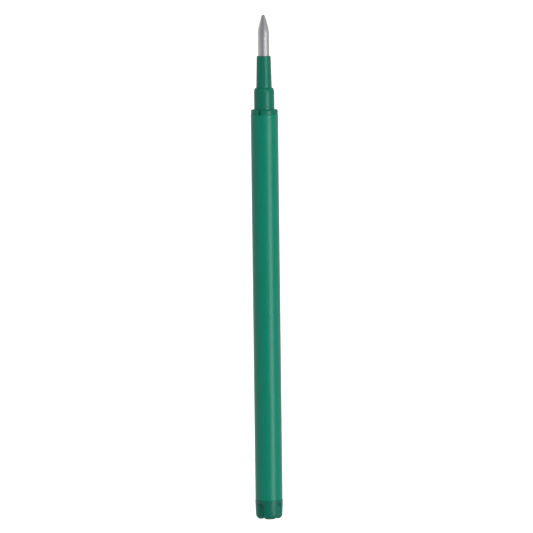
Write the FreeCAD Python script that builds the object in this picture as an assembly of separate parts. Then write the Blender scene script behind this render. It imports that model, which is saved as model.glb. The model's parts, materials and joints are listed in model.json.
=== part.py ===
import FreeCAD, Part

import math
import os

# Gel ink refill, in millimetres. The Z axis is the refill's own axis: z = 0 is the flat rear end
# that a pen pushes on, and +Z points to the writing tip.

# Heights along the axis, from the rear end to the ball
refill_length = 111.0
plug_head_length = 4.2
tube_length = 85.05
flange_length = 1.05
collar_length = 4.8
nozzle_length = 6.9

# Ink tube
tube_diameter = 6.0
tube_bore = 4.4
edge_break = 0.08

# Spigots of the tip holder and the tail plug, which press into the tube
spigot_relief = 0.06
spigot_lead = 0.3
spigot_lead_length = 0.5
rib_length = 0.5
rib_pitch = 1.8

# Tip holder
holder_spigot_length = 6.35
holder_rib_start = 1.4
holder_rib_count = 3
flange_diameter = 5.9
flange_chamfer = 0.2
slot_count = 4
slot_width = 0.7
slot_depth = 0.65
slot_turn = -24.0
collar_diameter = 4.46
shoulder_length = 1.0
nozzle_base_diameter = 3.42
nozzle_end_diameter = 3.10
nozzle_edge_break = 0.12
feed_bore = 1.4
feed_mouth = 3.0
feed_mouth_length = 3.0

# Steel point
point_diameter = 2.5
shank_diameter = 1.9
shank_length = 5.0
shank_lead = 0.15
shank_lead_length = 0.3
shank_end_gap = 0.05
barb_start = 1.2
barb_depth = 0.08
barb_length = 0.6
cone_half_angle = 15.0
cone_blend_length = 1.1
lip_diameter = 0.78
lip_opening = 0.64
back_bore = 1.15
back_bore_end = 107.0
middle_bore = 0.60
middle_bore_end = 109.5
ink_hole = 0.40
drill_half_angle = 59.0
crimp_diameter = 0.95
crimp_length = 0.4
crimp_slope = 0.08

# Ball and its socket
ball_diameter = 0.7
socket_gap = 0.02
press_travel = 0.03
channel_count = 5
channel_width = 0.08
channel_reach = 0.33
channel_low = 0.02
channel_high = 0.22

# Spring behind the ball
wire_diameter = 0.12
coil_diameter = 1.0
coil_pitch = 0.36
coil_turns = 16
coil_end_gap = 0.1
elbow_swell = 1.12
rod_gap = 0.003

# Tail plug
plug_lip_diameter = 6.1
plug_lip_length = 0.4
plug_corner = 1.05
plug_flat_diameter = 3.7
plug_spigot_length = 5.0
plug_rib_start = 0.9
plug_rib_count = 2
plug_core_bore = 2.6
plug_core_depth = 4.4
vent_diameter = 0.9
recess_diameter = 2.2
recess_depth = 0.5
groove_count = 4
groove_width = 1.35
groove_depth = 0.6
groove_end = 3.45
groove_turn = -40.0

# What the tube holds
ink_column_length = 62.0
follower_length = 8.0
follower_side_gap = 0.03
follower_ink_gap = 0.02
follower_dish = 0.45
float_diameter = 3.0
float_length = 6.0
float_edge = 0.3
float_setback = 1.2

# Heights and radii that follow from those sizes
tube_start = plug_head_length
tube_end = tube_start + tube_length
flange_end = tube_end + flange_length
collar_end = flange_end + collar_length
nozzle_end = collar_end + nozzle_length
holder_rear = tube_end - holder_spigot_length
shank_end = nozzle_end - shank_length
ball_radius = ball_diameter / 2
ball_height = refill_length - ball_radius
bore_radius = tube_bore / 2
spigot_radius = bore_radius - spigot_relief
ink_rear = holder_rear - ink_column_length
follower_front = ink_rear - follower_ink_gap
follower_rear = follower_front - follower_length
socket_radius = ball_radius + socket_gap
socket_height = ball_height - press_travel / 2

# How far along each side the middle of a quarter round lies, as a share of its radius
half_turned = math.sqrt(0.5)


def at(radius, height):
    return FreeCAD.Vector(radius, 0, height)


def turned(start, *steps):
    # A solid of revolution. A step is a corner (radius, height), or a pair of points for an arc:
    # one that it passes through and the one where it ends.
    edges = []
    here = at(*start)
    for step in (*steps, start):
        if isinstance(step[0], tuple):
            through, end = step
            there = at(*end)
            edges.append(Part.Arc(here, at(*through), there).toShape())
        else:
            there = at(*step)
            edges.append(Part.makeLine(here, there))
        here = there
    face = Part.Face(Part.Wire(edges))
    return face.revolve(FreeCAD.Vector(0, 0, 0), FreeCAD.Vector(0, 0, 1), 360)


def around(shape, count, first_turn):
    # Copies of a shape set out evenly about the axis
    copies = []
    for index in range(count):
        copy = shape.copy()
        copy.rotate(FreeCAD.Vector(0, 0, 0), FreeCAD.Vector(0, 0, 1), first_turn + index * 360 / count)
        copies.append(copy)
    return copies


def radial_box(width, inner, outer, low, high):
    # A box that points from the axis to -Y, the front of the refill
    corner = FreeCAD.Vector(-width / 2, -outer, low)
    return Part.makeBox(width, outer - inner, high - low, corner)


def rib_steps(first, count):
    # Outline steps of the sealing ribs that stand out of a spigot and touch the tube's bore
    steps = []
    for index in range(count):
        start = first + index * rib_pitch
        end = start + rib_length
        steps.append((spigot_radius, start - spigot_relief))
        steps.append((bore_radius, start))
        steps.append((bore_radius, end))
        steps.append((spigot_radius, end + spigot_relief))
    return steps


def make_ink_tube():
    outer = tube_diameter / 2
    edge = outer - edge_break
    return turned(
        (bore_radius, tube_start),
        (edge, tube_start),
        (outer, tube_start + edge_break),
        (outer, tube_end - edge_break),
        (edge, tube_end),
        (bore_radius, tube_end),
    )


def make_tip_holder():
    flange = flange_diameter / 2
    collar = collar_diameter / 2
    nozzle_base = nozzle_base_diameter / 2
    nozzle_front = nozzle_end_diameter / 2
    seat = shank_diameter / 2
    seat_rear = shank_end - shank_end_gap
    feed = feed_bore / 2
    shoulder_start = collar_end - shoulder_length
    # The shoulder rounds over from the collar's side to the foot of the nozzle
    shoulder_middle = (nozzle_base + half_turned * (collar - nozzle_base),
                       shoulder_start + half_turned * shoulder_length)
    body = turned(
        (feed_mouth / 2, holder_rear),
        (spigot_radius - spigot_lead, holder_rear),
        (spigot_radius, holder_rear + spigot_lead_length),
        *rib_steps(holder_rear + holder_rib_start, holder_rib_count),
        (spigot_radius, tube_end),
        (flange, tube_end),
        (flange, flange_end - flange_chamfer),
        (flange - flange_chamfer, flange_end),
        (collar, flange_end),
        (collar, shoulder_start),
        (shoulder_middle, (nozzle_base, collar_end)),
        (nozzle_front, nozzle_end - nozzle_edge_break),
        (nozzle_front - nozzle_edge_break, nozzle_end),
        (seat, nozzle_end),
        (seat, seat_rear),
        (feed, seat_rear),
        (feed, holder_rear + feed_mouth_length),
    )
    slot = radial_box(slot_width, flange - slot_depth, flange_diameter, tube_end, collar_end)
    return body.cut(around(slot, slot_count, slot_turn))


def make_point_body():
    outer = point_diameter / 2
    shank = shank_diameter / 2
    lip = lip_diameter / 2
    opening = lip_opening / 2
    back = back_bore / 2
    middle = middle_bore / 2
    hole = ink_hole / 2
    crimp = crimp_diameter / 2
    cone_angle = math.radians(cone_half_angle)
    lip_height = socket_height + math.sqrt(socket_radius ** 2 - opening ** 2)
    cone_start = lip_height - (outer - lip) / math.tan(cone_angle)
    # The side runs into the cone through an arc that is tangent to both
    blend_start = (outer, cone_start - cone_blend_length)
    blend_end = (outer - cone_blend_length * math.sin(cone_angle),
                 cone_start + cone_blend_length * math.cos(cone_angle))
    half_chord = cone_blend_length * math.cos(cone_angle / 2)
    bulge = half_chord * math.tan(cone_angle / 4)
    blend_middle = ((blend_start[0] + blend_end[0]) / 2 + bulge * math.cos(cone_angle / 2),
                    (blend_start[1] + blend_end[1]) / 2 + bulge * math.sin(cone_angle / 2))
    drill_rate = math.tan(math.radians(drill_half_angle))
    seat_low = socket_height - math.sqrt(socket_radius ** 2 - hole ** 2)
    barb_low = shank_end + barb_start
    body = turned(
        (crimp, shank_end),
        (shank - shank_lead, shank_end),
        (shank, shank_end + shank_lead_length),
        (shank, barb_low),
        (shank - barb_depth, barb_low),
        (shank, barb_low + barb_length),
        (shank, nozzle_end),
        (outer, nozzle_end),
        blend_start,
        (blend_middle, blend_end),
        (lip, lip_height),
        (opening, lip_height),
        ((socket_radius, socket_height), (hole, seat_low)),
        (hole, middle_bore_end + (middle - hole) / drill_rate),
        (middle, middle_bore_end),
        (middle, back_bore_end + (back - middle) / drill_rate),
        (back, back_bore_end),
        (back, shank_end + crimp_length),
        (crimp, shank_end + crimp_length - crimp_slope),
    )
    # Ink channels that spread from the ink hole across the ball's seat
    channel = radial_box(channel_width, 0, channel_reach, seat_low - channel_low, seat_low + channel_high)
    return body.cut(around(channel, channel_count, 0))


def make_writing_ball():
    return Part.makeSphere(ball_radius, at(0, ball_height))


def make_ball_spring():
    # A coil in the point's bore, whose wire ends in a straight rod that bears on the back of the ball
    wire = wire_diameter / 2
    coil = (coil_diameter - wire_diameter) / 2
    coil_start = shank_end + crimp_length + coil_end_gap + wire
    coil_height = coil_pitch * coil_turns
    coil_end = coil_start + coil_height
    rod_end = ball_height - ball_radius - rod_gap
    path = Part.Wire(Part.makeLongHelix(coil_pitch, coil_height, coil).Edges)
    section = Part.Wire(Part.makeCircle(wire, at(coil, 0), FreeCAD.Vector(0, 1, 0)))
    spring = path.makePipeShell([section], True, True)
    spring.translate(at(0, coil_start))
    arm = Part.makeCylinder(wire, coil, at(coil, coil_end), FreeCAD.Vector(-1, 0, 0))
    rod = Part.makeCylinder(wire, rod_end - coil_end, at(0, coil_end))
    elbows = [Part.makeSphere(wire * elbow_swell, at(radius, coil_end)) for radius in (0, coil)]
    return spring.fuse([arm, rod, *elbows])


def make_tail_plug():
    lip = plug_lip_diameter / 2
    flat = plug_flat_diameter / 2
    core = plug_core_bore / 2
    vent = vent_diameter / 2
    recess = recess_diameter / 2
    head_end = plug_head_length
    spigot_end = head_end + plug_spigot_length
    core_floor = spigot_end - plug_core_depth
    corner_middle = (flat + half_turned * plug_corner, (1 - half_turned) * plug_corner)
    body = turned(
        (vent, recess_depth),
        (recess, recess_depth),
        (recess, 0),
        (flat, 0),
        (corner_middle, (flat + plug_corner, plug_corner)),
        (lip, head_end - plug_lip_length),
        (lip, head_end - edge_break),
        (lip - edge_break, head_end),
        (spigot_radius, head_end),
        *rib_steps(head_end + plug_rib_start, plug_rib_count),
        (spigot_radius, spigot_end - spigot_lead_length),
        (spigot_radius - spigot_lead, spigot_end),
        (core, spigot_end),
        (core, core_floor),
        (vent, core_floor),
    )
    # Each groove is arched at its top, and runs on through the rim that stands round the end recess
    arch = groove_width / 2
    arch_height = groove_end - arch
    side = radial_box(groove_width, lip - groove_depth, plug_lip_diameter, -recess_depth, arch_height)
    top_start = FreeCAD.Vector(0, groove_depth - lip, arch_height)
    top = Part.makeCylinder(arch, lip, top_start, FreeCAD.Vector(0, -1, 0))
    notch = radial_box(groove_width, 0, plug_lip_diameter, -recess_depth, recess_depth)
    cutters = []
    for cutter in (side, top, notch):
        cutters += around(cutter, groove_count, groove_turn)
    return body.cut(cutters)


def make_gel_ink():
    return Part.makeCylinder(bore_radius, ink_column_length, at(0, ink_rear))


def make_feed_ink():
    feed = feed_bore / 2
    front = shank_end - shank_end_gap
    return turned(
        (0, holder_rear),
        (feed_mouth / 2, holder_rear),
        (feed, holder_rear + feed_mouth_length),
        (feed, front),
        (0, front),
    )


def make_follower_float():
    radius = float_diameter / 2
    rear = follower_rear + float_setback
    front = rear + float_length
    # The middles of the two rounded edges
    side = radius - (1 - half_turned) * float_edge
    inset = (1 - half_turned) * float_edge
    return turned(
        (0, rear),
        (radius - float_edge, rear),
        ((side, rear + inset), (radius, rear + float_edge)),
        (radius, front - float_edge),
        ((side, front - inset), (radius - float_edge, front)),
        (0, front),
    )


def make_follower_grease():
    # A plug of grease with a dished rear face, closed round the float
    radius = bore_radius - follower_side_gap
    dish_radius = (radius ** 2 + follower_dish ** 2) / (2 * follower_dish)
    dish_centre = follower_rear + follower_dish - dish_radius
    dish_middle = (radius / 2, dish_centre + math.sqrt(dish_radius ** 2 - (radius / 2) ** 2))
    grease = turned(
        (0, follower_rear + follower_dish),
        (dish_middle, (radius, follower_rear)),
        (radius, follower_front),
        (0, follower_front),
    )
    return grease.cut(make_follower_float())


sub_parts = {
    "ink_tube": make_ink_tube,
    "tip_holder": make_tip_holder,
    "point_body": make_point_body,
    "writing_ball": make_writing_ball,
    "ball_spring": make_ball_spring,
    "tail_plug": make_tail_plug,
    "gel_ink": make_gel_ink,
    "feed_ink": make_feed_ink,
    "follower_grease": make_follower_grease,
    "follower_float": make_follower_float,
}

os.makedirs("parts", exist_ok=True)
for node, make in sub_parts.items():
    shape = make()
    shape.exportStep(f"parts/{node}.step")
    box = shape.BoundBox
    heights = f"z {box.ZMin:.3f} to {box.ZMax:.3f}"
    print(f"{node}: {shape.Volume:.4f} mm3, {heights}, {len(shape.Solids)} solid, valid {shape.isValid()}")
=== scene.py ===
import json
import math

import bpy
import numpy
from mathutils import Matrix, Vector


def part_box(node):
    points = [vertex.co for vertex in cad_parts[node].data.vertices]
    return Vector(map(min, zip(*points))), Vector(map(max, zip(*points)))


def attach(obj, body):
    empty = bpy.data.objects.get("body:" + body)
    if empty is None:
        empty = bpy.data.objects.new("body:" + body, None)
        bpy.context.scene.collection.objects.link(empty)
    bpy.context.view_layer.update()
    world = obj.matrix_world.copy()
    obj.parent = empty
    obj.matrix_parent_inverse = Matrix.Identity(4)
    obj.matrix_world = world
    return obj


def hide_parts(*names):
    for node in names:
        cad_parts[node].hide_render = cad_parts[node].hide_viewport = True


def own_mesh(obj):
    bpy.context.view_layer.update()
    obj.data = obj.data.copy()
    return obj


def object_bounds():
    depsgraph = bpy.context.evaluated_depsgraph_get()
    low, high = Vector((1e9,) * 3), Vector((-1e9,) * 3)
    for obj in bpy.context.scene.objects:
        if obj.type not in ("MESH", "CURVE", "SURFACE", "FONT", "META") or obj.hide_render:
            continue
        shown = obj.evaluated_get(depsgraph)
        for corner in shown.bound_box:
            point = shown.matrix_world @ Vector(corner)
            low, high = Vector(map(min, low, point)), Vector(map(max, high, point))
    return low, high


# A gel ink refill, standing on its tail. Sizes here are millimetres, and meshes are made in metres.
mm = 0.001

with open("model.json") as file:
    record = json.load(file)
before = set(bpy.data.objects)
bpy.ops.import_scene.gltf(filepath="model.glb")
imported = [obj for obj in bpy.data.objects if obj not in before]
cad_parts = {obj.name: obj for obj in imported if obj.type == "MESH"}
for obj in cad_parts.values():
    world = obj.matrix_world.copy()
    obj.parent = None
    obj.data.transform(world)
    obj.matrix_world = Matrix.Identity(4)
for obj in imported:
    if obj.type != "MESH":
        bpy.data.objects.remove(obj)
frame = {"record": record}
cadLow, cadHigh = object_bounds()
bodies = frame["record"]["behaviour"]["bodies"]


def span(node):
    # Outer radius, rear height and front height of a CAD node
    low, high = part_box(node)
    return high[0] / mm, low[2] / mm, high[2] / mm


def linearColour(hexColour):
    channels = [int(hexColour[start:start + 2], 16) / 255 for start in (1, 3, 5)]
    return [c / 12.92 if c <= 0.04045 else ((c + 0.055) / 1.055) ** 2.4 for c in channels] + [1.0]


def addNode(tree, kind, inputs=None, **settings):
    node = tree.nodes.new(kind)
    for name, value in settings.items():
        setattr(node, name, value)
    for key, value in (inputs or {}).items():
        if isinstance(value, bpy.types.NodeSocket):
            tree.links.new(value, node.inputs[key])
        else:
            node.inputs[key].default_value = value
    return node


def calculated(tree, operation, *values):
    return addNode(tree, "ShaderNodeMath", dict(enumerate(values)), operation=operation).outputs[0]


def roundedOutline(corners, closed, spacing):
    # Points along an outline whose corners are (radius, height, rounding). Round and straight stretches
    # are cut at the given spacing, with a row close to each end of a straight so that it shades flat. A
    # fourth number is the spacing of that corner and of the stretch after it.
    leastSteps = 6
    support = 0.02
    points = []
    for index, (radius, height, rounding, *own) in enumerate(corners):
        here = Vector((radius, height))
        gap = own[0] if own else spacing
        if rounding == 0 or (not closed and index in (0, len(corners) - 1)):
            points.append((here, gap))
            continue
        toBefore = (Vector(corners[index - 1][:2]) - here).normalized()
        toAfter = (Vector(corners[(index + 1) % len(corners)][:2]) - here).normalized()
        halfAngle = toBefore.angle(toAfter) / 2
        centre = here + (toBefore + toAfter).normalized() * rounding / math.sin(halfAngle)
        fromSide = here + toBefore * rounding / math.tan(halfAngle) - centre
        toSide = here + toAfter * rounding / math.tan(halfAngle) - centre
        steps = max(leastSteps, math.ceil((math.pi - 2 * halfAngle) * rounding / gap))
        points += [(centre + fromSide.slerp(toSide, step / steps).normalized() * rounding, gap)
                   for step in range(steps + 1)]
    cut = []
    for index, (here, gap) in enumerate(points):
        cut.append(here)
        if not closed and index == len(points) - 1:
            break
        there = points[(index + 1) % len(points)][0]
        length = (there - here).length
        if length < 4 * support:
            continue
        pieces = max(1, math.ceil(length / gap))
        shares = [support / length] + [step / pieces for step in range(1, pieces)] + [1 - support / length]
        cut += [here.lerp(there, share) for share in shares]
    return cut


def turnedMesh(name, corners, closed=True, spacing=2.0, columns=128):
    # The outline turned about the Z axis. An open outline starts and ends on the axis, in a pole.
    outline = roundedOutline(corners, closed, spacing)
    angles = numpy.arange(columns) * 2 * math.pi / columns
    vertices = []
    rings = []
    for radius, height in outline:
        first = len(vertices)
        if radius < 1e-6:
            vertices.append((0, 0, height * mm))
            rings.append([first] * columns)
            continue
        vertices += [(radius * math.sin(a) * mm, -radius * math.cos(a) * mm, height * mm) for a in angles]
        rings.append(list(range(first, first + columns)))
    faces = []
    for index in range(len(rings) if closed else len(rings) - 1):
        near, far = rings[index], rings[(index + 1) % len(rings)]
        for column in range(columns):
            after = (column + 1) % columns
            face = (near[column], near[after], far[after], far[column])
            faces.append(tuple(dict.fromkeys(face)))
    mesh = bpy.data.meshes.new(name)
    mesh.from_pydata(vertices, [], faces)
    mesh.validate()
    mesh.shade_smooth()
    piece = bpy.data.objects.new(name, mesh)
    bpy.context.scene.collection.objects.link(piece)
    return piece


def turnOutwards(mesh):
    # The volume of a closed mesh with outward faces is positive
    points = numpy.empty(len(mesh.vertices) * 3)
    mesh.vertices.foreach_get("co", points)
    points = points.reshape(-1, 3)
    mesh.calc_loop_triangles()
    corners = numpy.empty(len(mesh.loop_triangles) * 3, dtype=int)
    mesh.loop_triangles.foreach_get("vertices", corners)
    a, b, c = points[corners.reshape(-1, 3)].transpose(1, 0, 2)
    if numpy.einsum("ij,ij->i", a, numpy.cross(b, c)).sum() < 0:
        mesh.flip_normals()


def newTree(name, sizes, counts=()):
    # A tree whose lengths are distance inputs, and whose counts and angles are plain ones
    tree = bpy.data.node_groups.new(name, "GeometryNodeTree")
    tree.interface.new_socket("Geometry", in_out="INPUT", socket_type="NodeSocketGeometry")
    for size in sizes:
        socket = tree.interface.new_socket(size, in_out="INPUT", socket_type="NodeSocketFloat")
        socket.subtype = "DISTANCE"
    for count in counts:
        tree.interface.new_socket(count, in_out="INPUT", socket_type="NodeSocketFloat")
    tree.interface.new_socket("Finish", in_out="INPUT", socket_type="NodeSocketMaterial")
    tree.interface.new_socket("Geometry", in_out="OUTPUT", socket_type="NodeSocketGeometry")
    return tree, addNode(tree, "NodeGroupInput").outputs


def endTree(tree, geometry, finish):
    realized = addNode(tree, "GeometryNodeRealizeInstances", {"Geometry": geometry})
    smooth = addNode(tree, "GeometryNodeSetShadeSmooth", {"Geometry": realized.outputs[0]})
    finished = addNode(tree, "GeometryNodeSetMaterial", {"Geometry": smooth.outputs[0], "Material": finish})
    addNode(tree, "NodeGroupOutput", {0: finished.outputs[0]})
    return tree


def placed(tree):
    # Where a point is: its coordinates, the part of it that is square to the axis, and that part's length
    position = addNode(tree, "GeometryNodeInputPosition").outputs[0]
    x, y, z = addNode(tree, "ShaderNodeSeparateXYZ", {0: position}).outputs
    flat = addNode(tree, "ShaderNodeCombineXYZ", {0: x, 1: y}).outputs[0]
    radius = addNode(tree, "ShaderNodeVectorMath", {0: flat}, operation="LENGTH").outputs["Value"]
    return x, y, z, flat, radius


def movedTo(tree, flat, scale, height):
    # The place of a point that is drawn in or out from the axis and set at a height
    scaled = addNode(tree, "ShaderNodeVectorMath", {0: flat, "Scale": scale}, operation="SCALE").outputs[0]
    risen = addNode(tree, "ShaderNodeCombineXYZ", {2: height}).outputs[0]
    return addNode(tree, "ShaderNodeVectorMath", {0: scaled, 1: risen}, operation="ADD").outputs[0]


def carvedTree():
    # Radial slots: the surface sinks to a floor radius, and its end to a floor height, inside each slot
    tree, given = newTree("carvedSlots", ["Width", "Edge", "Top", "Floor Radius", "Floor Height"],
                          ["Count", "First Angle"])
    x, y, z, flat, radius = placed(tree)
    front = calculated(tree, "MULTIPLY", y, -1.0)
    angle = calculated(tree, "ARCTAN2", x, front)
    turned = calculated(tree, "SUBTRACT", angle, given["First Angle"])
    halfPitch = calculated(tree, "DIVIDE", math.pi, given["Count"])
    minusHalf = calculated(tree, "MULTIPLY", halfPitch, -1.0)
    nearest = calculated(tree, "WRAP", turned, halfPitch, minusHalf)
    sine = calculated(tree, "SINE", nearest)
    across = calculated(tree, "MULTIPLY", sine, radius)
    halfWidth = calculated(tree, "MULTIPLY", given["Width"], 0.5)
    # The top of a slot is a half round, so past its centre the distance counts upwards too
    archFoot = calculated(tree, "SUBTRACT", given["Top"], halfWidth)
    aboveFoot = calculated(tree, "SUBTRACT", z, archFoot)
    above = calculated(tree, "MAXIMUM", aboveFoot, 0.0)
    offset = addNode(tree, "ShaderNodeCombineXYZ", {0: across, 1: above})
    distance = addNode(tree, "ShaderNodeVectorMath", {0: offset.outputs[0]},
                       operation="LENGTH").outputs["Value"]
    inner = calculated(tree, "SUBTRACT", halfWidth, given["Edge"])
    outer = calculated(tree, "ADD", halfWidth, given["Edge"])
    inside = addNode(tree, "ShaderNodeMapRange", {"Value": distance, "From Min": inner, "From Max": outer,
                                                  "To Min": 1.0, "To Max": 0.0},
                     interpolation_type="SMOOTHSTEP").outputs[0]
    sunkRadius = calculated(tree, "MINIMUM", radius, given["Floor Radius"])
    ratio = calculated(tree, "DIVIDE", sunkRadius, radius)
    scale = addNode(tree, "ShaderNodeMix", {0: inside, 2: 1.0, 3: ratio}).outputs[0]
    sunkHeight = calculated(tree, "MAXIMUM", z, given["Floor Height"])
    height = addNode(tree, "ShaderNodeMix", {0: inside, 2: z, 3: sunkHeight}).outputs[0]
    carved = addNode(tree, "GeometryNodeSetPosition",
                     {"Geometry": given["Geometry"], "Position": movedTo(tree, flat, scale, height)})
    merged = addNode(tree, "GeometryNodeMergeByDistance",
                     {"Geometry": carved.outputs[0], "Distance": 0.002 * mm})
    return endTree(tree, merged.outputs[0], given["Finish"])


def ribbedTree():
    # Sealing ribs: rings that stand out of the wall that lies at the given radius
    tree, given = newTree("sealingRibs", ["Wall Radius", "Height", "Length", "Pitch", "First"], ["Count"])
    z, flat, radius = placed(tree)[2:]
    past = calculated(tree, "SUBTRACT", z, given["First"])
    turns = calculated(tree, "DIVIDE", past, given["Pitch"])
    whole = calculated(tree, "ROUND", turns)
    last = calculated(tree, "SUBTRACT", given["Count"], 1.0)
    rib = addNode(tree, "ShaderNodeClamp", {"Value": whole, "Min": 0.0, "Max": last}).outputs[0]
    ribHeight = calculated(tree, "MULTIPLY", rib, given["Pitch"])
    apart = calculated(tree, "SUBTRACT", past, ribHeight)
    distance = calculated(tree, "ABSOLUTE", apart)
    halfLength = calculated(tree, "MULTIPLY", given["Length"], 0.5)
    foot = calculated(tree, "ADD", halfLength, given["Height"])
    shape = addNode(tree, "ShaderNodeMapRange", {"Value": distance, "From Min": halfLength, "From Max": foot,
                                                 "To Min": given["Height"], "To Max": 0.0},
                    interpolation_type="SMOOTHSTEP").outputs[0]
    raised = calculated(tree, "ADD", radius, shape)
    scale = calculated(tree, "DIVIDE", raised, radius)
    onWall = addNode(tree, "FunctionNodeCompare",
                     {"A": radius, "B": given["Wall Radius"], "Epsilon": 0.01 * mm},
                     data_type="FLOAT", operation="EQUAL").outputs[0]
    ribbed = addNode(tree, "GeometryNodeSetPosition",
                     {"Geometry": given["Geometry"], "Selection": onWall,
                      "Position": movedTo(tree, flat, scale, z)})
    return endTree(tree, ribbed.outputs[0], given["Finish"])


def coiledTree():
    # A wire that climbs in a coil, closes in on the axis over its last turn and runs on as a straight rod
    tree, given = newTree("coiledWire", ["Coil Radius", "Wire Radius", "Low", "Coil Height", "Rod Height"],
                          ["Turns", "Points", "Coil Share"])
    line = addNode(tree, "GeometryNodeCurvePrimitiveLine", {"Start": (0, 0, 0), "End": (1, 0, 0)})
    cut = addNode(tree, "GeometryNodeResampleCurve", {"Curve": line.outputs[0], "Count": given["Points"]})
    along = addNode(tree, "GeometryNodeSplineParameter").outputs["Factor"]
    inCoil = addNode(tree, "ShaderNodeMapRange", {"Value": along, "From Max": given["Coil Share"]}).outputs[0]
    inRod = addNode(tree, "ShaderNodeMapRange", {"Value": along, "From Min": given["Coil Share"]}).outputs[0]
    turnsDone = calculated(tree, "MULTIPLY", inCoil, given["Turns"])
    turn = calculated(tree, "MULTIPLY", turnsDone, 2 * math.pi)
    lastTurn = calculated(tree, "SUBTRACT", given["Turns"], 1.0)
    radius = addNode(tree, "ShaderNodeMapRange",
                     {"Value": turnsDone, "From Min": lastTurn, "From Max": given["Turns"],
                      "To Min": given["Coil Radius"], "To Max": 0.0},
                     interpolation_type="SMOOTHSTEP").outputs[0]
    sine = calculated(tree, "SINE", turn)
    cosine = calculated(tree, "COSINE", turn)
    x = calculated(tree, "MULTIPLY", cosine, radius)
    y = calculated(tree, "MULTIPLY", sine, radius)
    coilRise = calculated(tree, "MULTIPLY", inCoil, given["Coil Height"])
    rodRise = calculated(tree, "MULTIPLY", inRod, given["Rod Height"])
    risen = calculated(tree, "ADD", coilRise, rodRise)
    z = calculated(tree, "ADD", risen, given["Low"])
    path = addNode(tree, "ShaderNodeCombineXYZ", {0: x, 1: y, 2: z})
    bent = addNode(tree, "GeometryNodeSetPosition", {"Geometry": cut.outputs[0], "Position": path.outputs[0]})
    section = addNode(tree, "GeometryNodeCurvePrimitiveCircle",
                      {"Resolution": 14, "Radius": given["Wire Radius"]})
    wire = addNode(tree, "GeometryNodeCurveToMesh",
                   {"Curve": bent.outputs[0], "Profile Curve": section.outputs[0], "Fill Caps": True})
    return endTree(tree, wire.outputs[0], given["Finish"])


def makePlain(piece, tree, values, finish):
    # Runs a tree on a piece and keeps its result as a plain mesh
    modifier = piece.modifiers.new(tree.name, "NODES")
    modifier.node_group = tree
    for item in tree.interface.items_tree:
        if item.in_out == "OUTPUT" or item.name == "Geometry":
            continue
        if item.name == "Finish":
            modifier[item.identifier] = finish
        elif item.subtype == "DISTANCE":
            modifier[item.identifier] = values[item.name] * mm
        else:
            modifier[item.identifier] = float(values[item.name])
    graph = bpy.context.evaluated_depsgraph_get()
    plain = bpy.data.meshes.new_from_object(piece.evaluated_get(graph))
    piece.modifiers.clear()
    piece.data = plain


def newFinish(name):
    material = bpy.data.materials.new(name)
    material.use_nodes = True
    material.node_tree.nodes.clear()
    return material, material.node_tree


def surface(tree, inputs):
    shader = addNode(tree, "ShaderNodeBsdfPrincipled", inputs)
    addNode(tree, "ShaderNodeOutputMaterial", {"Surface": shader.outputs[0]})


def grain(tree, across, along, detail=2.0):
    # Noise whose spots are as wide and as long, along the refill, as the two sizes in millimetres
    place = addNode(tree, "ShaderNodeTexCoord").outputs["Object"]
    sized = addNode(tree, "ShaderNodeMapping",
                    {"Vector": place, "Scale": (1 / (across * mm), 1 / (across * mm), 1 / (along * mm))})
    return addNode(tree, "ShaderNodeTexNoise",
                   {"Vector": sized.outputs[0], "Scale": 1.0, "Detail": detail}).outputs[0]


def ranged(tree, value, low, high):
    # Noise lies mostly between a quarter and three quarters
    return addNode(tree, "ShaderNodeMapRange",
                   {"Value": value, "From Min": 0.25, "From Max": 0.75,
                    "To Min": low, "To Max": high}).outputs[0]


def blended(tree, value, first, second):
    shares = ranged(tree, value, 0.0, 1.0)
    return addNode(tree, "ShaderNodeMix", {0: shares, 6: linearColour(first), 7: linearColour(second)},
                   data_type="RGBA").outputs[2]


def extrudedPolypropylene():
    # Extruded polypropylene is waxy and softly glossy, with faint draw lines along its length
    tube = {"colour": "#0C8A70", "shade": "#0B846B", "roughness": (0.26, 0.36), "specular": 0.35,
            "drawLine": (0.22, 30.0), "ripple": 1.4, "lineDepth": 0.0012, "rippleDepth": 0.003}
    material, tree = newFinish("extrudedPolypropylene")
    lines = grain(tree, *tube["drawLine"])
    ripple = grain(tree, tube["ripple"], tube["ripple"] * 3)
    lineBump = addNode(tree, "ShaderNodeBump", {"Height": lines, "Distance": tube["lineDepth"] * mm})
    bump = addNode(tree, "ShaderNodeBump", {"Height": ripple, "Distance": tube["rippleDepth"] * mm,
                                            "Normal": lineBump.outputs[0]})
    surface(tree, {"Base Color": blended(tree, ripple, tube["shade"], tube["colour"]),
                   "Roughness": ranged(tree, lines, *tube["roughness"]),
                   "Specular IOR Level": tube["specular"],
                   "IOR": 1.49,
                   "Normal": bump.outputs[0]})
    return material


def mouldedPolypropylene(name, colour, shade):
    # Injection moulded polypropylene takes a fine satin grain from its spark-eroded mould
    moulded = {"roughness": (0.26, 0.36), "specular": 0.35, "grain": 0.07, "grainDepth": 0.0022,
               "flow": (0.8, 3.5)}
    material, tree = newFinish(name)
    fine = grain(tree, moulded["grain"], moulded["grain"], 4.0)
    flow = grain(tree, *moulded["flow"])
    bump = addNode(tree, "ShaderNodeBump", {"Height": fine, "Distance": moulded["grainDepth"] * mm})
    surface(tree, {"Base Color": blended(tree, flow, shade, colour),
                   "Roughness": ranged(tree, fine, *moulded["roughness"]),
                   "Specular IOR Level": moulded["specular"],
                   "IOR": 1.49,
                   "Normal": bump.outputs[0]})
    return material


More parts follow.
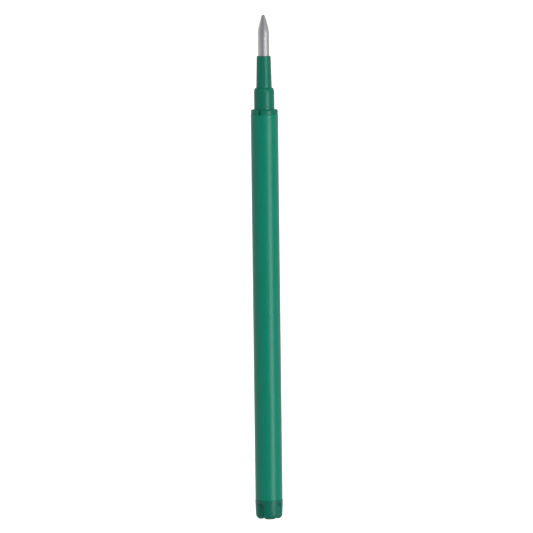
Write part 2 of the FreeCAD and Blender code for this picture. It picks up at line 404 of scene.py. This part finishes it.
def turnedStainless():
    # Stainless steel turned on an automatic lathe: bright, with fine rings round the axis. The real rings
    # are about 0.02 mm apart, and are drawn at 0.09 mm so that they show.
    steel = {"colour": "#EBEBEE", "shade": "#E2E2E5", "roughness": (0.52, 0.62), "ring": 0.09,
             "ringDepth": 0.0004, "stain": 1.2}
    material, tree = newFinish("turnedStainless")
    rings = grain(tree, 6.0, steel["ring"], 3.0)
    stain = grain(tree, steel["stain"], steel["stain"] * 2)
    bump = addNode(tree, "ShaderNodeBump", {"Height": rings, "Distance": steel["ringDepth"] * mm})
    surface(tree, {"Base Color": blended(tree, stain, steel["shade"], steel["colour"]),
                   "Metallic": 1.0,
                   "Roughness": ranged(tree, rings, *steel["roughness"]),
                   "Normal": bump.outputs[0]})
    return material


def lappedCarbide():
    # Tungsten carbide, lapped to a dark mirror with a slight haze between its grains
    ball = {"colour": "#7C7B7D", "shade": "#6A696C", "roughness": (0.10, 0.22), "grain": 0.03,
            "depth": 0.0003}
    material, tree = newFinish("lappedCarbide")
    fine = grain(tree, ball["grain"], ball["grain"], 3.0)
    bump = addNode(tree, "ShaderNodeBump", {"Height": fine, "Distance": ball["depth"] * mm})
    surface(tree, {"Base Color": blended(tree, fine, ball["shade"], ball["colour"]),
                   "Metallic": 1.0,
                   "Roughness": ranged(tree, fine, *ball["roughness"]),
                   "Normal": bump.outputs[0]})
    return material


def drawnWire():
    # Drawn stainless wire: a cold grey with a slightly uneven die polish
    wire = {"colour": "#A9A7A3", "shade": "#8E8C88", "roughness": (0.24, 0.40), "mark": 0.05, "depth": 0.0004}
    material, tree = newFinish("drawnStainlessWire")
    marks = grain(tree, wire["mark"], wire["mark"] * 6, 3.0)
    bump = addNode(tree, "ShaderNodeBump", {"Height": marks, "Distance": wire["depth"] * mm})
    surface(tree, {"Base Color": blended(tree, marks, wire["shade"], wire["colour"]),
                   "Metallic": 1.0,
                   "Roughness": ranged(tree, marks, *wire["roughness"]),
                   "Normal": bump.outputs[0]})
    return material


def gelInk():
    # Wet pigment gel: dark, saturated and glossy, a little cloudy where the pigment gathers
    ink = {"colour": "#0B5A45", "shade": "#084636", "roughness": (0.06, 0.14), "cloud": 1.6, "depth": 0.004}
    material, tree = newFinish("wetGelInk")
    cloud = grain(tree, ink["cloud"], ink["cloud"] * 2, 3.0)
    bump = addNode(tree, "ShaderNodeBump", {"Height": cloud, "Distance": ink["depth"] * mm})
    surface(tree, {"Base Color": blended(tree, cloud, ink["shade"], ink["colour"]),
                   "Roughness": ranged(tree, cloud, *ink["roughness"]),
                   "IOR": 1.37,
                   "Subsurface Weight": 0.15,
                   "Subsurface Radius": (0.1, 0.5, 0.3),
                   "Subsurface Scale": 0.6 * mm,
                   "Normal": bump.outputs[0]})
    return material


def sealingGrease():
    # Polybutene grease: a milky, soft translucent body with a wet skin
    grease = {"colour": "#D9D6C6", "shade": "#C7C3AE", "roughness": (0.18, 0.32), "curd": 0.7, "depth": 0.01}
    material, tree = newFinish("sealingGrease")
    curd = grain(tree, grease["curd"], grease["curd"], 3.0)
    bump = addNode(tree, "ShaderNodeBump", {"Height": curd, "Distance": grease["depth"] * mm})
    surface(tree, {"Base Color": blended(tree, curd, grease["shade"], grease["colour"]),
                   "Roughness": ranged(tree, curd, *grease["roughness"]),
                   "IOR": 1.47,
                   "Subsurface Weight": 0.6,
                   "Subsurface Radius": (1.0, 0.9, 0.6),
                   "Subsurface Scale": 0.8 * mm,
                   "Normal": bump.outputs[0]})
    return material


def naturalResin():
    # Unpigmented moulded resin: off white and satin
    resin = {"colour": "#E4E2DA", "shade": "#D8D5CA", "roughness": (0.35, 0.48), "grain": 0.09,
             "depth": 0.002}
    material, tree = newFinish("naturalResin")
    fine = grain(tree, resin["grain"], resin["grain"], 3.0)
    bump = addNode(tree, "ShaderNodeBump", {"Height": fine, "Distance": resin["depth"] * mm})
    surface(tree, {"Base Color": blended(tree, fine, resin["shade"], resin["colour"]),
                   "Roughness": ranged(tree, fine, *resin["roughness"]),
                   "IOR": 1.5,
                   "Subsurface Weight": 0.2,
                   "Subsurface Radius": (1.0, 0.9, 0.7),
                   "Subsurface Scale": 0.4 * mm,
                   "Normal": bump.outputs[0]})
    return material


def finishPiece(piece, node, body=None):
    turnOutwards(piece.data)
    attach(piece, body or next(name for name, nodes in bodies.items() if node in nodes))
    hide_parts(node)
    return piece


def dress(piece, material):
    piece.data.materials.clear()
    piece.data.materials.append(material)


def makeInkTube():
    tube = {"bore": 2.2, "rim": 0.09, "innerRim": 0.06}
    radius, rear, front = span("ink_tube")
    corners = [(tube["bore"], rear, tube["innerRim"]), (radius, rear, tube["rim"]),
               (radius, front, tube["rim"]), (tube["bore"], front, tube["innerRim"])]
    piece = turnedMesh("inkTube", corners, spacing=3.0, columns=192)
    dress(piece, extrudedPolypropylene())
    return finishPiece(piece, "ink_tube")


def spigotCorners(wall, rear, front, lead, spacing):
    # The two corners of a spigot's free end, in from the rear or from the front
    leadLength = 0.5 if front > rear else -0.5
    return [(wall - lead, rear, 0.06), (wall, rear + leadLength, 0.12, spacing)]


def makeTipHolder():
    holder = {"spigotWall": 2.14, "spigotLead": 0.3, "flangeLength": 1.05, "flangeRound": 0.22,
              "collar": 2.23, "collarLength": 4.8, "shoulder": 1.0, "nozzleFoot": 1.71, "nozzleEnd": 1.55,
              "nozzleRound": 0.13, "shankSeat": 0.95, "seatDepth": 5.05, "feed": 0.7, "feedMouth": 1.5,
              "feedMouthLength": 3.0, "firstRib": 1.65, "fineSpacing": 0.14, "colour": "#0C7963",
              "shade": "#0B735E"}
    ribs = {"Wall Radius": 2.14, "Height": 0.05, "Length": 0.5, "Pitch": 1.8, "Count": 3}
    flangeSlots = {"Width": 0.7, "Edge": 0.04, "Floor Radius": 2.3, "Floor Height": 0.0, "Count": 4,
                   "First Angle": math.radians(-24)}
    radius, rear, front = span("tip_holder")
    tubeFront = span("ink_tube")[2]
    flangeFront = tubeFront + holder["flangeLength"]
    collarFront = flangeFront + holder["collarLength"]
    shoulderFoot = collarFront - holder["shoulder"]
    seatRear = front - holder["seatDepth"]
    rise = holder["collar"] - holder["nozzleFoot"]
    quarter = [(holder["nozzleFoot"] + rise * math.cos(a), shoulderFoot + holder["shoulder"] * math.sin(a), 0)
               for a in [math.radians(turn) for turn in range(0, 81, 8)]]
    fine = holder["fineSpacing"]
    corners = [(holder["feedMouth"], rear, 0.05),
               *spigotCorners(holder["spigotWall"], rear, front, holder["spigotLead"], fine),
               (holder["spigotWall"], tubeFront, 0, fine),
               (radius, tubeFront, 0.05, fine),
               (radius, flangeFront, holder["flangeRound"], fine),
               (holder["collar"], flangeFront, 0.08),
               *quarter,
               (holder["nozzleFoot"], collarFront, 0.05),
               (holder["nozzleEnd"], front, holder["nozzleRound"]),
               (holder["shankSeat"], front, 0.03),
               (holder["shankSeat"], seatRear, 0.03),
               (holder["feed"], seatRear, 0.03),
               (holder["feed"], rear + holder["feedMouthLength"], 0.1)]
    piece = turnedMesh("tipHolder", corners, spacing=1.0, columns=440)
    material = mouldedPolypropylene("mouldedPolypropylene", holder["colour"], holder["shade"])
    makePlain(piece, ribbed, {**ribs, "First": rear + holder["firstRib"]}, material)
    makePlain(piece, carved, {**flangeSlots, "Top": collarFront}, material)
    return finishPiece(piece, "tip_holder")


def makeTailPlug():
    plug = {"lipLength": 0.4, "tail": 2.9, "corner": 1.05, "headLength": 4.2, "spigotWall": 2.14,
            "spigotLead": 0.3, "core": 1.3, "coreDepth": 4.4, "vent": 0.45, "recess": 1.1, "recessDepth": 0.5,
            "firstRib": 1.15, "fineSpacing": 0.11, "colour": "#0E725F", "shade": "#0C6B59"}
    ribs = {"Wall Radius": 2.14, "Height": 0.05, "Length": 0.5, "Pitch": 1.8, "Count": 2}
    grooves = {"Width": 1.35, "Edge": 0.25, "Top": 3.45, "Floor Radius": 2.45, "Floor Height": 0.5,
               "Count": 4, "First Angle": math.radians(-40)}
    radius, rear, front = span("tail_plug")
    headFront = rear + plug["headLength"]
    coreFloor = front - plug["coreDepth"]
    fine = plug["fineSpacing"]
    corners = [(plug["vent"], rear + plug["recessDepth"], 0.06, fine),
               (plug["recess"], rear + plug["recessDepth"], 0.06, fine),
               (plug["recess"], rear, 0.12, fine),
               (plug["tail"], rear, plug["corner"] - 0.01, fine),
               (radius, headFront - plug["lipLength"], 0.15, fine),
               (radius, headFront, 0.07),
               (plug["spigotWall"], headFront, 0, fine),
               *reversed(spigotCorners(plug["spigotWall"], front, rear, plug["spigotLead"], fine)),
               (plug["core"], front, 0.05),
               (plug["core"], coreFloor, 0.1),
               (plug["vent"], coreFloor, 0.05)]
    piece = turnedMesh("tailPlug", corners, spacing=0.6, columns=420)
    material = mouldedPolypropylene("mouldedPlugPolypropylene", plug["colour"], plug["shade"])
    makePlain(piece, ribbed, {**ribs, "First": headFront + plug["firstRib"]}, material)
    makePlain(piece, carved, grooves, material)
    return finishPiece(piece, "tail_plug")


def makePointBody():
    point = {"shank": 0.95, "shankLead": 0.12, "shankLeadLength": 0.3, "barb": 0.08, "barbStart": 1.2,
             "barbLength": 0.6, "halfAngle": 15, "blend": 8.3, "lip": 0.39, "opening": 0.325, "socket": 0.37,
             "socketSetback": 0.015, "inkHole": 0.2, "holeRear": 0.55, "middle": 0.3, "middleEnd": 1.3,
             "back": 0.575, "backEnd": 3.8, "crimp": 0.475, "crimpLength": 0.4}
    radius, rear, front = span("point_body")
    holderFront = span("tip_holder")[2]
    ballRadius, _, ballFront = span("writing_ball")
    ballHeight = ballFront - ballRadius
    coneRate = math.tan(math.radians(point["halfAngle"]))
    coneStart = front - (radius - point["lip"]) / coneRate
    barb = rear + point["barbStart"]
    socketHeight = ballHeight - point["socketSetback"]
    socket = [(point["socket"] * math.cos(a), socketHeight + point["socket"] * math.sin(a), 0)
              for a in [math.radians(turn) for turn in range(22, -57, -6)]]
    corners = [(point["crimp"], rear, 0.04),
               (point["shank"] - point["shankLead"], rear, 0.08),
               (point["shank"], rear + point["shankLeadLength"], 0.1),
               (point["shank"], barb, 0.02),
               (point["shank"] - point["barb"], barb, 0.02),
               (point["shank"], barb + point["barbLength"], 0.05),
               (point["shank"], holderFront, 0),
               (radius, holderFront, 0.03),
               (radius, coneStart, point["blend"]),
               (point["lip"], front, 0.025),
               (point["opening"], front, 0.01),
               *socket,
               (point["inkHole"], front - point["holeRear"], 0.01),
               (point["inkHole"], front - point["middleEnd"] + 0.06, 0.02),
               (point["middle"], front - point["middleEnd"], 0.02),
               (point["middle"], front - point["backEnd"] + 0.17, 0.04),
               (point["back"], front - point["backEnd"], 0.04),
               (point["back"], rear + point["crimpLength"] + 0.02, 0.05),
               (point["crimp"], rear + point["crimpLength"] - 0.08, 0.05)]
    piece = turnedMesh("pointBody", corners, spacing=0.8, columns=160)
    dress(piece, turnedStainless())
    return finishPiece(piece, "point_body")


def makeWritingBall():
    radius, _, front = span("writing_ball")
    centre = front - radius
    steps = 40
    arc = [(radius * math.sin(a), centre - radius * math.cos(a), 0)
           for a in [math.pi * step / steps for step in range(steps + 1)]]
    piece = turnedMesh("writingBall", arc, closed=False, spacing=1.0, columns=80)
    dress(piece, lappedCarbide())
    return finishPiece(piece, "writing_ball")


def makeBallSpring():
    spring = {"Wire Radius": 0.06, "Turns": 17, "Points": 620, "Coil Share": 0.97, "coilHeight": 6.1}
    radius, rear, front = span("ball_spring")
    piece = bpy.data.objects.new("ballSpring", bpy.data.meshes.new("ballSpring"))
    bpy.context.scene.collection.objects.link(piece)
    low = rear + spring["Wire Radius"]
    makePlain(piece, coiled, {**spring, "Coil Radius": radius - spring["Wire Radius"], "Low": low,
                              "Coil Height": spring["coilHeight"],
                              "Rod Height": front - low - spring["coilHeight"]}, drawnWire())
    finishPiece(piece, "ball_spring", "refill_body")
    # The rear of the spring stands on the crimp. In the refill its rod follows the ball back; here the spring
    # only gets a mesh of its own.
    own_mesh(piece)
    return piece


def makeGelInk():
    radius, rear, front = span("gel_ink")
    corners = [(0, rear, 0), (radius, rear, 0.05), (radius, front, 0.05), (0, front, 0)]
    piece = turnedMesh("gelInk", corners, closed=False, spacing=2.0, columns=96)
    dress(piece, ink)
    finishPiece(piece, "gel_ink")
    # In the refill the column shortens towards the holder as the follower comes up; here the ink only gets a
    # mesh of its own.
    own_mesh(piece)
    return piece


def makeFeedInk():
    feed = {"bore": 0.7, "mouthLength": 3.0}
    radius, rear, front = span("feed_ink")
    corners = [(0, rear, 0), (radius, rear, 0.04), (feed["bore"], rear + feed["mouthLength"], 0.1),
               (feed["bore"], front, 0.04), (0, front, 0)]
    piece = turnedMesh("feedInk", corners, closed=False, spacing=1.0, columns=64)
    dress(piece, ink)
    return finishPiece(piece, "feed_ink")


def roundRod(radius, rear, front, edge):
    return [(0, rear, 0), (radius, rear, edge), (radius, front, edge), (0, front, 0)]


def makeFollowerGrease():
    grease = {"dish": 0.45, "skin": 0.05, "dishSteps": 12, "floatEdge": 0.3}
    radius, rear, front = span("follower_grease")
    dish = [(radius * share, rear + grease["dish"] * (1 - share * share), 0)
            for share in [step / grease["dishSteps"] for step in range(grease["dishSteps"])]]
    corners = [*dish, (radius, rear, 0.02), (radius, front, grease["skin"]), (0, front, 0)]
    piece = turnedMesh("followerGrease", corners, closed=False, spacing=0.8, columns=96)
    dress(piece, sealingGrease())
    # The hollow that the float fills is a second, inward skin
    floatRadius, floatRear, floatFront = span("follower_float")
    rod = roundRod(floatRadius, floatRear, floatFront, grease["floatEdge"])
    hollow = turnedMesh("hollow", rod, closed=False, spacing=0.8, columns=96)
    turnOutwards(piece.data)
    turnOutwards(hollow.data)
    hollow.data.flip_normals()
    with bpy.context.temp_override(active_object=piece, selected_editable_objects=[piece, hollow]):
        bpy.ops.object.join()
    return finishPiece(piece, "follower_grease")


def makeFollowerFloat():
    floatRod = {"edge": 0.3}
    rod = roundRod(*span("follower_float"), floatRod["edge"])
    piece = turnedMesh("followerFloat", rod, closed=False, spacing=0.8, columns=96)
    dress(piece, naturalResin())
    return finishPiece(piece, "follower_float")


def makeCamera():
    # A long lens, a little above the middle of the refill, rolled so that the tip leans to the left
    view = {"lens": 400, "sensor": 36, "frameHeight": 116.92, "elevation": 5.8, "roll": 0.70,
            "aimRight": 0.06, "aimUp": 0.25}
    data = bpy.data.cameras.new("camera")
    data.lens = view["lens"]
    data.sensor_width = view["sensor"]
    distance = view["frameHeight"] * mm * view["lens"] / view["sensor"]
    centre = (cadLow + cadHigh) / 2
    centre.x += view["aimRight"] * mm
    centre.z += view["aimUp"] * mm
    tilt = math.radians(view["elevation"])
    back = Vector((0, -math.cos(tilt), math.sin(tilt)))
    lean = math.radians(view["roll"])
    level = Vector((math.cos(lean), 0, -math.sin(lean)))
    right = (level - back * level.dot(back)).normalized()
    up = back.cross(right)
    turn = Matrix((right, up, back)).transposed()
    data.clip_start = distance * 0.2
    data.clip_end = distance * 10
    camera = bpy.data.objects.new("camera", data)
    camera.matrix_world = Matrix.Translation(centre + back * distance) @ turn.to_4x4()
    bpy.context.scene.collection.objects.link(camera)
    bpy.context.scene.camera = camera


def makeSoftbox(name, azimuth, elevation, distance, width, tall, brightness, reflected=True):
    # A rectangle of light that faces the middle of the refill. Azimuth counts from the camera's side
    # to the right.
    data = bpy.data.lights.new(name, "AREA")
    data.shape = "RECTANGLE"
    data.size = width
    data.size_y = tall
    data.energy = brightness * math.pi * width * tall
    light = bpy.data.objects.new(name, data)
    turn, rise = math.radians(azimuth), math.radians(elevation)
    aim = Vector((0, 0, cadHigh.z / 2))
    place = aim + distance * Vector((math.sin(turn) * math.cos(rise), -math.cos(turn) * math.cos(rise),
                                     math.sin(rise)))
    light.location = place
    light.rotation_euler = (aim - place).to_track_quat("-Z", "Y").to_euler()
    light.visible_camera = False
    light.visible_glossy = reflected
    bpy.context.scene.collection.objects.link(light)


def makeStudio():
    studio = {"floorSize": 6.0, "floorColour": "#EEEEEE", "floorGlow": 0.95, "paper": 1.0,
              "dim": 0.05, "bright": 0.85, "overhead": 0.25,
              "brightSide": (-0.34, 0.94, 0)}
    scene = bpy.context.scene
    scene.view_settings.view_transform = "Standard"
    mesh = bpy.data.meshes.new("floor")
    half = studio["floorSize"] / 2
    floorCorners = [(-half, -half, 0), (half, -half, 0), (half, half, 0), (-half, half, 0)]
    mesh.from_pydata(floorCorners, [], [(0, 1, 2, 3)])
    floor = bpy.data.objects.new("floor", mesh)
    scene.collection.objects.link(floor)
    # The floor is only seen. It neither lights the refill nor shows in its gloss.
    floor.visible_glossy = False
    floor.visible_diffuse = False
    floor.visible_shadow = False
    # Matt white acrylic lit from below, bright enough to pass for white paper
    material, tree = newFinish("lightTableAcrylic")
    surface(tree, {"Base Color": linearColour(studio["floorColour"]), "Roughness": 0.9,
                   "Specular IOR Level": 0.1, "Emission Color": (1, 1, 1, 1),
                   "Emission Strength": studio["floorGlow"]})
    mesh.materials.append(material)
    # The room is dim on the camera's side, brightest behind the refill and to its left, and an even
    # grey overhead. The background that is seen is white paper.
    world = bpy.data.worlds.new("whiteStudio")
    world.use_nodes = True
    tree = world.node_tree
    tree.nodes.clear()
    direction = addNode(tree, "ShaderNodeTexCoord").outputs["Generated"]
    share = addNode(tree, "ShaderNodeVectorMath", {0: direction, 1: studio["brightSide"]},
                    operation="DOT_PRODUCT").outputs["Value"]
    level = addNode(tree, "ShaderNodeMapRange",
                    {"Value": share, "From Min": -0.9, "From Max": 1.0,
                     "To Min": studio["dim"], "To Max": studio["bright"]}).outputs[0]
    upward = addNode(tree, "ShaderNodeSeparateXYZ", {0: direction}).outputs["Z"]
    above = addNode(tree, "ShaderNodeMapRange",
                    {"Value": upward, "From Min": 0.15, "From Max": 0.7}).outputs[0]
    room = addNode(tree, "ShaderNodeMix", {0: above, 2: level, 3: studio["overhead"]}).outputs[0]
    seen = addNode(tree, "ShaderNodeLightPath").outputs["Is Camera Ray"]
    strength = addNode(tree, "ShaderNodeMix", {0: seen, 2: room, 3: studio["paper"]}).outputs[0]
    background = addNode(tree, "ShaderNodeBackground", {"Color": (1, 1, 1, 1), "Strength": strength})
    addNode(tree, "ShaderNodeOutputWorld", {"Surface": background.outputs[0]})
    scene.world = world
    makeSoftbox("keyStrip", azimuth=40, elevation=-6, distance=0.30, width=0.14, tall=0.20, brightness=4.4)
    # The fill lights the colour of the refill and is left out of its gloss
    makeSoftbox("fillSoftbox", azimuth=18, elevation=25, distance=1.1, width=0.7, tall=0.7, brightness=4.0,
                reflected=False)


makeCamera()
makeStudio()
print("studio ready")

carved = carvedTree()
ribbed = ribbedTree()
coiled = coiledTree()
ink = gelInk()
for make in (makeInkTube, makeTipHolder, makeTailPlug, makePointBody, makeWritingBall, makeBallSpring,
             makeGelInk, makeFeedInk, makeFollowerGrease, makeFollowerFloat):
    piece = make()
    print("made", piece.name, len(piece.data.polygons), "faces")
